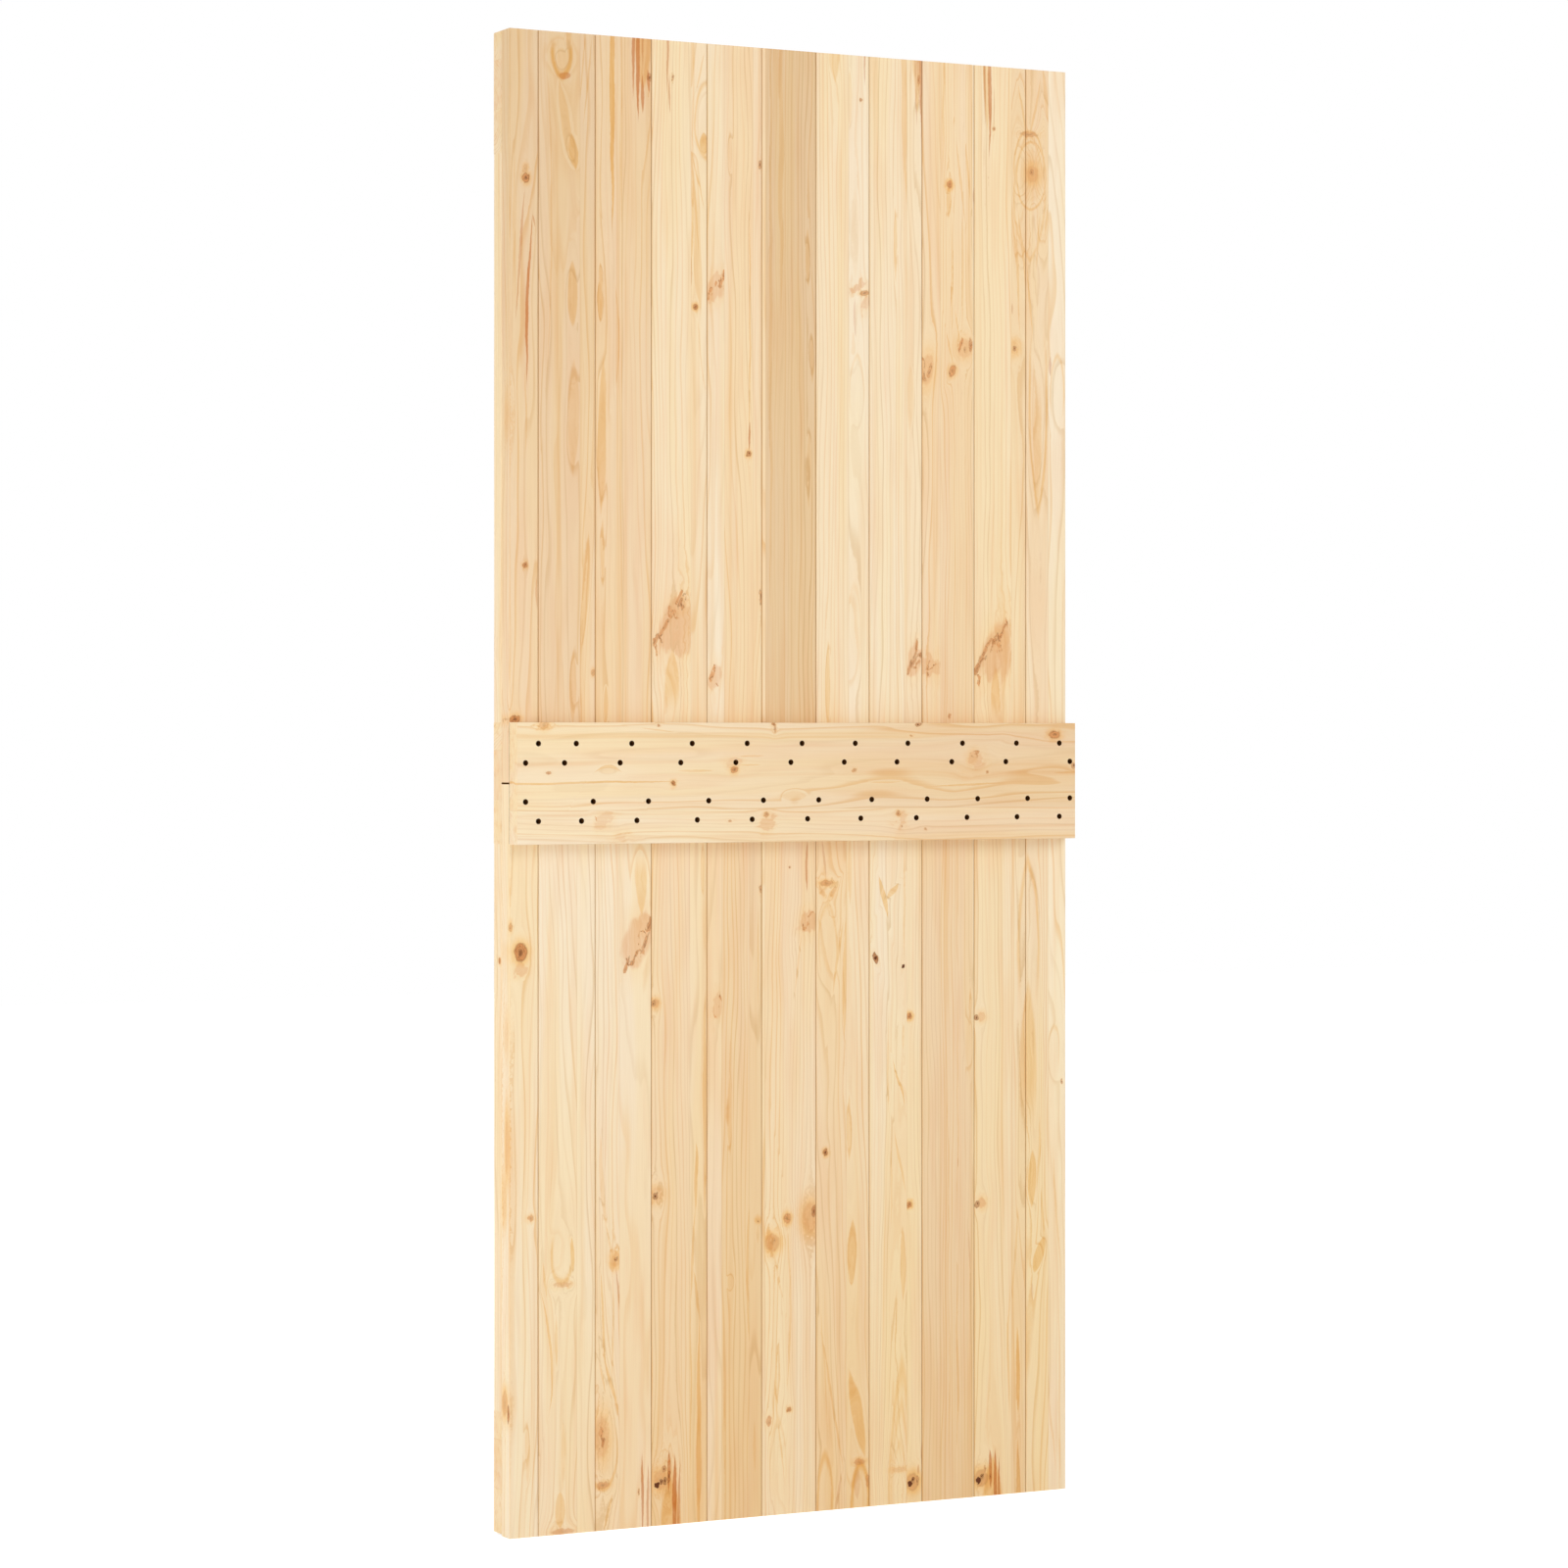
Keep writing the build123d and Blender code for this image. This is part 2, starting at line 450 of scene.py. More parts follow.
def grain_space(tree, level):
    """Places in millimetres from the leaf's left end and foot, as across, out, along the grain."""
    coordinates = tree.nodes.new("ShaderNodeTexCoord")
    mapping = tree.nodes.new("ShaderNodeMapping")
    tree.links.new(coordinates.outputs["Object"], mapping.inputs["Vector"])
    mapping.inputs["Location"].default_value = (-leaf_left / millimetre, 0, -leaf_foot / millimetre)
    mapping.inputs["Scale"].default_value = (1 / millimetre,) * 3
    place = Signal(tree, mapping.outputs[0])
    if not level:
        return place
    x, out, height = split(place)
    return joined(height, out, x)


def of_strip(steps, values):
    """The value that belongs to the strip at a place, from one value for each strip."""
    chosen = values[0]
    for step, before, value in zip(steps, values, values[1:]):
        chosen = step * (value - before) + chosen
    return chosen


def pine(node_name, strips, marks, level=False, jointed=False, drilled=False, over_gap=None,
         contrast=0.75):
    """Gives a piece of the leaf its pine. strips and marks are in millimetres on the leaf. The
    grain of a level piece runs along the leaf's width. over_gap is the place of the face that
    shuts the gap between the halves, and contrast says how strongly the rings show."""
    material = bpy.data.materials.new("pine " + node_name.replace("_", " "))
    tree = empty_tree(material)
    place = grain_space(tree, level)
    across, out, along = split(place)
    steps = [across.maths("GREATER_THAN", glued["left"]) for glued in strips[1:]]
    own = {key: of_strip(steps, [glued[key] for glued in strips])
           for key in ("number", "pith", "out", "tilt")}
    foot, head = ((corner[0 if level else 2] - (leaf_left if level else leaf_foot)) / millimetre
                  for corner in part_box(node_name))
    # Tones blend foot to head; the upper left boards' darker heads are partly own tone, partly painted
    # shade.
    rise = along.rising(foot, head)
    tones = [blended("MIX", rise, glued["tone"], glued["head"]) for glued in strips]
    tone = tones[0]
    for step, own_tone in zip(steps, tones[1:]):
        tone = blended("MIX", step, tone, own_tone)

    # Knots have ragged edges and spikes torn ones, and figures in the grain only waver.
    ragged = noise(place, 0.17, 0.13, 3.1, 2) - 0.5
    torn = noise(place, 0.09, 0.05, 5.7, 3) - 0.5
    waver = noise(place, 0.04, 0.012, 8.4, 1) - 0.5
    knot_place = joined(across + ragged * 6, out, along + ragged * 8)
    spike_place = joined(across + torn * 22, out, along + torn * 50)
    figure_place = joined(across + waver * 7 + ragged * 1.5, out, along + waver * 12)
    grain, body, dark, halo, honey, resin, swell = place, 0.0, 0.0, 0.0, 0.0, 0.0, 0.0
    # A mark ends at the glue line of its own strip.
    passed = [1.0, *steps]
    within = [step * -1 + before for step, before in zip(steps, passed)] + [passed[-1]]
    for kind, values in marks:
        here = within[sum(values["Across"] > glued["left"] for glued in strips[1:])]
        if kind in ("knot", "spike"):
            mark_place = knot_place if kind == "knot" else spike_place
            found = placed(tree, knots_group, Grain=grain, Place=mark_place, Body=body, Dark=dark,
                           Halo=halo, Here=here, **values)
            body, dark, halo = found["Body"], found["Dark"], found["Halo"]
        else:
            found = placed(tree, figures_group, Grain=grain, Place=figure_place, Honey=honey,
                           Resin=resin, Swell=swell, Here=here, **values)
            honey, resin, swell = found["Honey"], found["Resin"], found["Swell"]
        grain = found["Grain"]

    rings = placed(tree, rings_group, Grain=grain, Swell=swell, Pith_Across=own["pith"],
                   Pith_Out=own["out"], Tilt=own["tilt"], Ring_Width=ring_width,
                   Contrast=contrast, Seed=own["number"], Timber=tone)
    color, latewood, fibre = rings["Color"], rings["Latewood"], rings["Fibre"]
    if isinstance(dark, Signal):
        checks = abs(noise(place, 0.16, 0.09, 6.2, 2) - 0.5).falling(0.0, 0.035)
        dark = dark.maths("MAXIMUM", checks * body.rising(0.4, 0.9) * 0.6)
    for amount, mode, over in ((honey, "MULTIPLY", honey_tint), (halo, "MULTIPLY", halo_tint),
                               (body, "MIX", knot_color), (resin, "MIX", resin_color),
                               (dark, "MIX", knot_dark)):
        if isinstance(amount, Signal):
            color = blended(mode, amount * (fibre * 0.8 + 0.6), color, over)

    for glued in strips[1:]:
        glue_line = abs(across - glued["left"]).falling(0.2, 0.7) * 0.35
        color = blended("MULTIPLY", glue_line, color, grey_line_tint)

    geometry = tree.nodes.new("ShaderNodeNewGeometry")
    facing = split(Signal(tree, geometry.outputs["True Normal"]))
    axis = 2 if level else 0
    endways = abs(facing[2 - axis]).rising(0.6, 0.9)
    color = blended("MULTIPLY", endways, color, end_grain_tint)
    sheltered = 0.0
    if jointed:
        # Painted shade: the joints' chamfers and sides, the cut ends at mid height and the faces
        # under the batten are darkened, as where shade falls between parts. The leaf's own sides aren't.
        sideways = abs(facing[axis])
        half_width = leaf_width / 2
        inside = abs(across - half_width).falling(half_width - 0.6, half_width - 0.2)
        from_halves = abs(along - leaf_height / 2)
        color = blended("MULTIPLY", sideways.rising(0.3, 0.6) * inside, color, chamfer_shade_tint)
        color = blended("MULTIPLY", sideways.rising(0.8, 0.9) * inside, color, joint_shade_tint)
        # Painted shade along the gap between the halves, on the cut ends and the faces beside them.
        sheltered = from_halves.falling(half_gap + 0.45, half_gap + 0.75)
        color = blended("MULTIPLY", sheltered, color, gap_shade_tint)
        # Painted shade on the faces hidden under the batten's edges.
        shade_under_batten = (from_halves.falling(batten_half_height - 0.3, batten_half_height - 0.1)
                        * out.falling(board_face + 1.1, board_face + 1.2))
        color = blended("MULTIPLY", shade_under_batten * (ragged + 0.8), color, deep_shade_tint)
    if over_gap is not None:
        # The face behind the gap between the halves is painted near black: painted shade.
        from_gap = abs(across - leaf_height / 2)
        sheltered = (from_gap.falling(half_gap + 0.05, half_gap + 0.35)
                     * abs(out - over_gap).falling(0.05, 0.1))
        color = blended("MULTIPLY", sheltered, color, deep_shade_tint)
    if drilled:
        # The recesses' walls, which are all that lies inside the batten's faces, are painted dark
        # brown as painted shade, darker at the mouth than deeper in.
        low, high = ([value / millimetre for value in corner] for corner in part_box(node_name))
        half_height, half_length = (high[2] - low[2]) / 2, (high[0] - low[0]) / 2
        mid_height = (high[2] + low[2]) / 2 - leaf_foot / millimetre
        deep = (out.rising(low[1] + 0.05, low[1] + 0.25) * out.falling(high[1] - 0.2, high[1] - 0.1)
                * abs(across - mid_height).falling(half_height - 1.5, half_height - 1.0)
                * abs(along - half_length).falling(half_length - 0.2, half_length - 0.1))
        recess_shade = blended("MIX", out.rising(low[1] + 1, low[1] + 6), recess_mouth_shade_color, recess_shade_color)
        color = blended("MIX", deep, color, recess_shade)
        sheltered = deep + sheltered

    surface = tree.nodes.new("ShaderNodeBsdfPrincipled")
    plug(tree, color, surface.inputs["Base Color"])
    plug(tree, latewood * -0.08 + 0.62 + sheltered, surface.inputs["Roughness"])
    surface.inputs["Specular IOR Level"].default_value = 0.25
    bump = tree.nodes.new("ShaderNodeBump")
    bump.inputs["Strength"].default_value = 0.5
    bump.inputs["Distance"].default_value = 0.12 * millimetre
    plug(tree, noise(place, 0.8, 0.014, 4.4, 2), bump.inputs["Height"])
    tree.links.new(bump.outputs[0], surface.inputs["Normal"])
    surface_of(tree, surface)
    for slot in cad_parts[node_name].material_slots:
        slot.material = material


# Two figures in the grain lie across the joint between the last two boards.
round_figure = [
    loop(838, 1812, 2012, 56, 0.45, roundness=0.3, band=0.15),
    loop(841, 1892, 1996, 52, 0.6, roundness=1.0, band=0.15),
    flame(842, 1904, 1984, 42, 0.3, roundness=1.0),
    loop(837, 1900, 2012, 54, 0.6, opening=-1, roundness=1.0, band=0.15),
    knot(843, 1946, 20, 26, body=0.35, dark=0.1, stain=0.8),
    knot(837, 2004, 32, 8, body=0.4, dark=0.3, stain=0.3)]
pointed_figure = [
    loop(836, 660, 946, 40, 0.6, opening=-1, roundness=0.3), flame(836, 470, 758, 32, 0.7, opening=-1),
    flame(836, 560, 720, 18, 0.5, opening=-1)]

# Each board's strips and marks, in millimetres from the leaf's left end and from its foot.
boards = {
    # The upper left boards' darker heads are partly the wood's own tone and partly painted shade.
    "upper_board_01": (
        [strip(0, "fawn", "brown", pith=60, out=-10)],
        [knot(25, 1893, 11, 14, stain=1.0), knot(24, 1906, 7, 12, body=0.2, dark=0.2),
         streak(16, 1690, 1880, 4, lean=0.07), streak(28, 1600, 1845, 5, 1.0, lean=0.03, bend=2),
         streak(36, 1822, 1840, 3, lean=-0.3), line(24, 1500, 1640), knot(24, 1354, 8, 9, dark=0.6),
         streak(42, 1290, 1340, 3, 0.5), line(8, 1700, 1950, 4, 0.4),
         knot(8, 1139, 16, 12, body=0.9, dark=0.7), edge_mark(-44, 1560, 12, 50, 0.1)]),
    "upper_board_02": (
        [strip(44, "tan", "brown", pith=80, out=5, tilt=0.012),
         strip(108, "fawn", "brown", pith=170, out=20)],
        [loop(79, 2033, 2104, 34, 1.1, opening=1, roundness=0.9, band=0.5),
         flame(80, 2044, 2080, 16, 0.3, roundness=1.0), streak(84, 2034, 2044, 18, 0.7, roundness=1.0),
         flame(90, 2056, 2150, 7, 0.7), flame(86, 1910, 2036, 15, lean=-0.17),
         flame(98, 1906, 1962, 14, 1.0, lean=-0.1), flame(97, 1688, 1784, 18, 0.8, roundness=0.5),
         flame(98, 1480, 1645, 18, 0.5), line(112, 1990, 2110, 3, 0.6, lean=0.1),
         line(120, 1970, 2100, 3, 0.6, lean=0.1), line(64, 1600, 2060, bend=-8),
         flame(117, 1240, 1405, 12, 0.5, lean=0.06), line(110, 1200, 1330, 4, lean=0.08),
         flame(98, 1130, 1240, 10, 0.5), knot(128, 1205, 6, 10, body=0.5, dark=0.3)]),
    "upper_board_03": (
        [strip(131.5, "fawn", "tan", pith=120, out=-20), strip(173, "fawn", "tan", pith=260, out=10)],
        [flame(158, 1820, 2300, 8, 1.2), line(172, 1700, 2300, 3, 0.6, bend=2),
         flame(206, 2025, 2180, 28, 1.0, opening=1), streak(191, 2010, 2180, 5, 0.9),
         streak(198, 1980, 2190, 7, 1.1), streak(205, 1992, 2052, 5, 1.0),
         dab(216, 2046, 9, 12, dark=0.7), streak(214, 2020, 2060, 4, 0.9), streak(206, 2050, 2150, 3),
         flame(140, 1736, 1784, 5, 0.7), flame(138, 1694, 1758, 9, 0.9),
         flame(142, 1420, 1652, 15, 0.8, lean=0.02), flame(143, 1325, 1424, 8),
         line(168, 1600, 1760, 3, 0.6, bend=-6), flame(148, 1130, 1190, 8)]),
    "upper_board_04": (
        [strip(219, "straw", pith=330, out=10), strip(281, "straw", pith=292, out=0, tilt=0.02)],
        [streak(243, 2020, 2190, 4, 0.8, lean=-0.02), streak(248, 1996, 2056, 3, 0.7),
         dab(252, 2048, 4, 8), line(284, 1900, 2300, 4), line(296, 2030, 2090, 4, 0.6, lean=0.25),
         flame(301, 1938, 1974, 13, 0.9, roundness=0.5), loop(306, 1930, 2050, 40, 0.6, rings=2),
         line(292, 1860, 1950, 3, 0.6, lean=-0.25), line(288, 1800, 1950, 3, 0.6, lean=-0.09),
         line(284, 1740, 1930, 3, 0.6, lean=0.02), streak(283, 1756, 1800, 3, 0.4),
         knot(288, 1725, 8, 9, dark=0.7, stain=1.0), line(298, 1600, 1710, lean=-0.12),
         spike(256, 1272, 50, 88, -24, 0.4), spike(270, 1272, 34, 92, 0, 0.36),
         knot(262, 1302, 26, 26, -30, 0.35, 0.0, 0.5, Flow=0.0), crust(224, 1250, 8, 22, -30, 0.3),
         crust(233, 1258, 15, 10, -20, 0.7), crust(226, 1238, 5, 20, 10, 0.2),
         crust(240, 1272, 6, 26, -35, 0.2), crust(248, 1290, 14, 9, -30, 0.2),
         crust(256, 1292, 5, 22, 40, 0.1), crust(267, 1304, 12, 14, -30, 0.7),
         crust(262, 1312, 5, 24, -30, 0.1), flame(251, 1130, 1240, 24, 0.7, opening=-1)]),
    "upper_board_05": (
        [strip(306.5, "cream"), strip(334, "honey", pith=250, out=30), strip(380, "honey")],
        [spike(321, 1754, 30, 46, -35, 0.32), crust(310, 1744, 5, 10, 0, 0.0),
         crust(317, 1752, 4, 14, -30, 0.1), crust(328, 1762, 12, 5, 20, 0.4),
         crust(332, 1770, 6, 12, 0, 0.0), dab(391, 1933, 5, 13), flame(344, 1915, 1985, 8, 0.3),
         line(374, 1500, 1880, 3, 0.7), knot(373, 1519, 8, 10, dark=0.9, stain=0.9),
         streak(374, 1522, 1566, 4, 0.8), spike(320, 1200, 20, 38, -15, 0.32),
         crust(316, 1206, 5, 14, 0, 0.1), crust(324, 1192, 6, 8, 0, 0.1), dab(392, 1315, 5, 24)]),
    "upper_board_06": (
        [strip(394, "honey"), strip(400, "brown", "umber", pith=520, out=0)],
        [flame(408, 1250, 2300, 5, 0.5), flame(425, 1700, 2200, 8, 0.5), flame(469, 1760, 1850, 9),
         flame(475, 1620, 1700, 8, 0.5), flame(470, 1440, 1560, 8, 0.4)]),
    "upper_board_07": (
        [strip(481.5, "straw", pith=420, out=10), strip(535, "cream")],
        [flame(512, 2055, 2160, 18, 0.5), flame(536, 1990, 2080, 8, 0.4), streak(561, 2055, 2150, 3, 0.7),
         dab(555, 2037, 5, 6), flame(545, 1773, 1910, 14, 0.15),
         knot(561, 1757, 14, 8, body=0.6, dark=0.5, Flow=0.3), spike(549, 1766, 30, 12, 20, 0.35),
         streak(546, 1690, 1752, 5, 0.35), spike(561, 1738, 12, 24, -10),
         loop(548, 1560, 1668, 26, opening=-1), loop(544, 1180, 1340, 24, 0.2, opening=-1),
         flame(500, 1120, 1255, 9)]),
    "upper_board_08": (
        [strip(569, "cream", "straw", pith=500, out=20), strip(631, "straw", pith=690, out=0)],
        [flame(626, 1880, 2260, 10, lean=-0.02), streak(646, 1995, 2200, 4, 0.45),
         flame(648, 2020, 2220, 16, 0.7), streak(654, 1965, 2250, 5, 0.8),
         dab(651, 2072, 4, 14, dark=0.5), streak(650, 2030, 2200, 4, 0.5), flame(612, 1770, 1890, 6),
         flame(637, 1560, 1660, 12, 0.3), spike(644, 1228, 26, 56, -12, 0.4),
         crust(648, 1248, 6, 26, -10, 0.4), crust(642, 1228, 9, 18, -30, 0.6),
         crust(652, 1232, 8, 10, 0, 0.6), crust(636, 1216, 6, 18, -20, 0.2),
         crust(646, 1218, 10, 6, 0, 0.3)]),
    "upper_board_09": (
        [strip(656.5, "honey"), strip(687, "fawn", "honey", pith=900, out=0, tilt=0.0),
         strip(741, "cream")],
        [knot(702, 1922, 10, 12, dark=0.3, stain=1.2), flame(701, 1872, 1925, 9),
         line(692, 1920, 2300, 4, bend=-2), line(705, 1690, 1880, 4, bend=3),
         line(721, 1860, 1990, 4, 0.6, lean=-0.12), line(724, 1700, 1900, 4),
         line(733, 1900, 1990, 4, 0.6, lean=-0.1), streak(744, 1895, 1922, 4),
         knot(728, 1684, 28, 28, body=0.3, dark=0.0, stain=0.5), crust(738, 1690, 7, 22, 0, 0.4),
         dab(728, 1682, 5, 7, dark=0.6), crust(722, 1690, 5, 12, 0, 0.1),
         knot(707, 1650, 12, 17, -20, 0.8, 0.3), line(703, 1660, 1710, 3, 0.6, lean=-0.25),
         line(716, 1690, 1740, 3, 0.6, lean=-0.2),
         knot(665, 1650, 22, 48, -8, body=0.4, dark=0.0, stain=0.6), crust(661, 1640, 6, 24, 0, 0.4),
         crust(659, 1662, 5, 20, 20, 0.2), crust(669, 1648, 6, 14, 0, 0.1),
         spike(671, 1219, 40, 34, 0, 0.34), crust(674, 1222, 20, 4, 10, 0.1),
         crust(668, 1212, 5, 10, 0, 0.1), dab(702, 1145, 5, 7, dark=0.5)]),
    "upper_board_10": (
        [strip(744, "straw", pith=660, out=30),
         strip(807, "straw", "fawn", pith=835, out=-40, tilt=0.02)],
        [*round_figure, flame(765, 2000, 2250, 14), streak(762, 2005, 2180, 3, 0.7),
         streak(770, 1962, 2180, 6, 0.9), dab(777, 2008, 5, 7, dark=0.5), streak(777, 2000, 2070, 2, 0.4),
         line(826, 2000, 2080, 4, 0.6, lean=-0.2), line(812, 1780, 1920, 4, 0.6, lean=-0.1),
         line(818, 1700, 1880, 4, 0.6, lean=-0.03), line(826, 1760, 1900, 4, 0.6, lean=-0.1),
         knot(812, 1688, 18, 20, body=0.15, dark=0.0), dab(812, 1687, 7, 8),
         streak(808, 1735, 1754, 3, 0.5), spike(780, 1240, 48, 90, -24, 0.4),
         spike(794, 1244, 32, 88, 0, 0.36), knot(786, 1262, 28, 26, -30, 0.35, 0.0, 0.5, Flow=0.0),
         crust(750, 1218, 8, 22, -30, 0.4), crust(758, 1230, 12, 12, -20, 0.6),
         crust(752, 1202, 5, 20, 10, 0.1), crust(764, 1244, 6, 26, -35, 0.2),
         crust(774, 1252, 13, 9, -30, 0.3), crust(783, 1258, 13, 10, -20, 0.7),
         crust(791, 1268, 5, 22, -30, 0.3), crust(785, 1246, 4, 20, 40, 0.0),
         crust(798, 1280, 5, 22, 0, 0.1), flame(781, 1120, 1220, 18, 0.7, opening=-1)]),
    "upper_board_11": (
        [strip(831.5, "straw", "fawn", pith=835, out=-40, tilt=0.02), strip(870, "cream")],
        [*round_figure, knot(842, 1949, 7, 10, body=0.6, dark=0.5, stain=0.4),
         line(848, 2000, 2090, 4, 0.6, lean=0.2), line(866, 2010, 2110, 8, lean=-0.1),
         line(867, 1850, 1910, 4, lean=0.1), line(838, 1700, 1820, 4, 0.6, lean=-0.1),
         line(852, 1800, 1890, 4, 0.6, lean=0.08), streak(874, 1648, 1680, 4),
         loop(886, 1560, 1684, 26, 0.5, opening=-1),
         loop(853, 1436, 1800, 34, 0.7, opening=1, roundness=0.3),
         flame(852, 1440, 1700, 14, opening=1)]),
    "lower_board_01": (
        [strip(0, "cream", "straw", pith=70, out=10)],
        [knot(17, 815, 21, 26, body=1.0, dark=0.7, stain=1.0), spike(18, 790, 22, 16, 0),
         knot(2, 850, 5, 14, body=0.5, dark=0.4, Out=-53, Half_Depth=3),
         knot(32, 444, 10, 9, body=0.6, dark=0.2), edge_mark(-38, 186, 20, 36, 0.45, 0.15, 1.0),
         edge_mark(-50, 172, 7, 28, 1.0, 0.9, 0.5, 3.0), flame(27, 70, 165, 9, 0.4),
         edge_mark(-45, 545, 12, 84, 0.3, 0.0, 1.2, 5.0), edge_mark(-36, 470, 14, 60, 0.1, 0.0, 0.9),
         edge_mark(-44, 700, 12, 50, 0.1)]),
    "lower_board_02": (
        [strip(44, "straw", "cream", pith=115, out=-5, tilt=0.01), strip(103, "straw", "cream")],
        [loop(80, 346, 440, 36, 0.6, opening=1, roundness=1.0, band=0.35),
         knot(80, 349, 28, 8, body=0.35, dark=0.1, stain=0.3), flame(96, 362, 418, 6, 0.9),
         line(64, 160, 350, 4, 0.8, lean=-0.06, bend=-12), line(72, 230, 310, 5),
         line(54, 330, 385, 4, 0.6, lean=-0.15), flame(82, 60, 160, 8, 0.3),
         flame(78, 10, 62, 16, 0.7, roundness=0.6), knot(82, 4, 36, 9, body=0.5, dark=0.15, stain=0.2)]),
    "lower_board_03": (
        [strip(131.5, "honey", "cream", pith=250, out=0, tilt=0.015), strip(169, "honey", "cream")],
        [spike(197, 828, 46, 86, -26, 0.4), knot(206, 850, 22, 26, 0, 0.3, 0.0, 0.4, Flow=0.0),
         crust(178, 788, 6, 22, -20, 0.3), crust(185, 800, 15, 9, 0, 0.8),
         crust(194, 806, 5, 18, -20, 0.2), crust(203, 812, 14, 6, -30, 0.2),
         crust(208, 822, 6, 22, -20, 0.5), crust(204, 832, 5, 16, 50, 0.1),
         crust(215, 848, 7, 26, -10, 0.5), crust(211, 838, 4, 14, 30, 0.1),
         flame(203, 860, 975, 20, 0.7, opening=1), flame(143, 420, 560, 8, 0.5, lean=-0.06),
         line(152, 380, 430, 4, lean=-0.2), knot(163, 379, 15, 20, body=0.25, dark=0.0, stain=1.0),
         dab(163, 380, 6, 6, dark=0.9), streak(167, 304, 372, 3, lean=-0.1),
         line(144, 220, 370, 4, 0.8, lean=-0.07), line(160, 200, 375, 3, 0.6, bend=-4),
         line(155, 150, 260, 5, 0.8, lean=-0.22), line(142, 190, 240, 4, 0.6, lean=-0.2),
         knot(141, 132, 24, 62, body=0.35, dark=0.0), crust(141, 122, 8, 14, 0, 0.5),
         crust(140, 138, 6, 22, 0, 0.0), loop(142, 54, 170, 50, 0.6, opening=1, roundness=1.0, band=0.2),
         knot(143, 64, 20, 10, body=0.6, dark=0.3), line(152, 0, 52, 5, 0.6, lean=0.25),
         streak(205, -20, 108, 5, 0.9), streak(214, -30, 94, 4, 0.7), dab(199, 50, 4, 9, dark=0.6)]),
    "lower_board_04": (
        [strip(219, "corn", "honey", pith=330, out=0), strip(279, "corn", "straw")],
        [knot(225, 738, 12, 14, body=0.5, dark=0.0, stain=0.8), dab(222, 738, 6, 10),
         flame(303, 430, 750, 7), flame(300, 890, 970, 6, 0.4), flame(289, 440, 540, 6, 0.7),
         line(284, 300, 450, 4, 0.7, lean=0.06), line(290, 280, 360, 4, 0.7, lean=-0.12),
         flame(293, -60, 300, 7, 0.9), line(280, 60, 340, 3, 0.6),
         knot(228, 468, 20, 22, body=0.25, dark=0.0, stain=0.6), dab(225, 466, 9, 10, dark=1.1),
         flame(250, -80, 70, 36, 1.0), streak(247, 46, 108, 6, 1.0), streak(256, -60, 102, 8, 1.1),
         streak(263, -60, 92, 5, 0.8), knot(233, 64, 24, 28, body=0.4, dark=0.1, stain=0.9),
         dab(227, 57, 9, 9, dark=1.9), dab(234, 62, 6, 8, dark=1.3), dab(240, 62, 6, 12, dark=1.2),
         dab(246, 68, 5, 16, dark=1.0), dab(239, 80, 8, 10, dark=0.7)]),
    "lower_board_05": (
        [strip(306.5, "honey"), strip(330, "oat", "fawn", pith=420, out=0), strip(374, "oat", "fawn")],
        [spike(323, 732, 18, 34, 0, 0.28), crust(327, 741, 5, 16, 0, 0.2), crust(321, 722, 6, 5, 0, 0.0),
         dab(392, 897, 5, 12), line(388, 720, 880), flame(343, 515, 635, 7, 0.5),
         line(371, 200, 480, 4, 0.6, bend=5), knot(388, 424, 8, 8, body=0.2, dark=0.0, stain=0.9),
         dab(388, 422, 4, 4), flame(388, 390, 420, 6, 0.3), flame(344, 325, 352, 10, 0.3),
         line(334, 60, 180, 5, 0.4), line(382, 60, 140, 5)]),
    "lower_board_06": (
        [strip(394, "straw"), strip(399, "straw", "honey", pith=330, out=10)],
        [dab(439, 928, 4, 4), streak(467, 890, 970, 4, 0.8), spike(469, 848, 30, 34, -30, 0.4),
         crust(462, 842, 7, 12, 0, 0.1), crust(472, 857, 12, 6, 20, 0.1), crust(468, 846, 6, 6, 0, 0.1),
         line(452, 740, 830, 4, lean=0.12), knot(411, 391, 24, 26, body=0.5, dark=0.12, stain=1.0),
         dab(414, 393, 4, 5, dark=0.5), knot(435, 424, 12, 16, body=0.7, dark=0.25, stain=1.0),
         line(420, 300, 385, 4, 0.4, lean=-0.2), line(440, 170, 420, 4, bend=-6),
         line(416, 120, 240, 4, 0.6, bend=3), knot(438, 150, 8, 8, body=0.8, dark=0.5),
         line(424, 40, 150, lean=-0.1), knot(478, 432, 8, 16),
         knot(472, 424, 26, 44, body=0.35, dark=0.05, stain=0.9), dab(405, 135, 8, 16, dark=0.12),
         loop(420, 0, 140, 26, opening=-1)]),
    "lower_board_07": (
        [strip(481.5, "corn", "honey", pith=450, out=0, tilt=-0.02),
         strip(531, "corn", "straw", pith=600, out=20)],
        [knot(499, 904, 22, 9, body=0.6, dark=0.25, stain=0.9),
         knot(491, 893, 6, 18, 30, body=0.3, dark=0.1), knot(510, 892, 6, 18, -30, body=0.3, dark=0.1),
         streak(494, 910, 970, 4, 0.4, lean=-0.12), loop(501, 740, 880, 34, 0.4, opening=-1),
         flame(529, 680, 852, 9, 0.7), line(517, 740, 850, 4, 0.6, lean=0.15),
         flame(537, 870, 972, 7, 0.5), flame(536, 500, 600, 8),
         knot(497, 516, 9, 10, dark=1.0, stain=1.0), flame(541, 322, 418, 16, 0.8, roundness=0.3),
         flame(540, 322, 350, 7), flame(549, 70, 202, 19, 0.9, lean=-0.2),
         loop(554, -60, 72, 32, 1.0, opening=-1, roundness=0.6, band=0.4),
         knot(553, 66, 18, 9, body=0.6, dark=0.2), streak(549, 10, 66, 10, 0.3),
         dab(566, 38, 6, 20, 0, 0.3), loop(496, -70, 88, 28, 0.7, opening=-1, band=0.35),
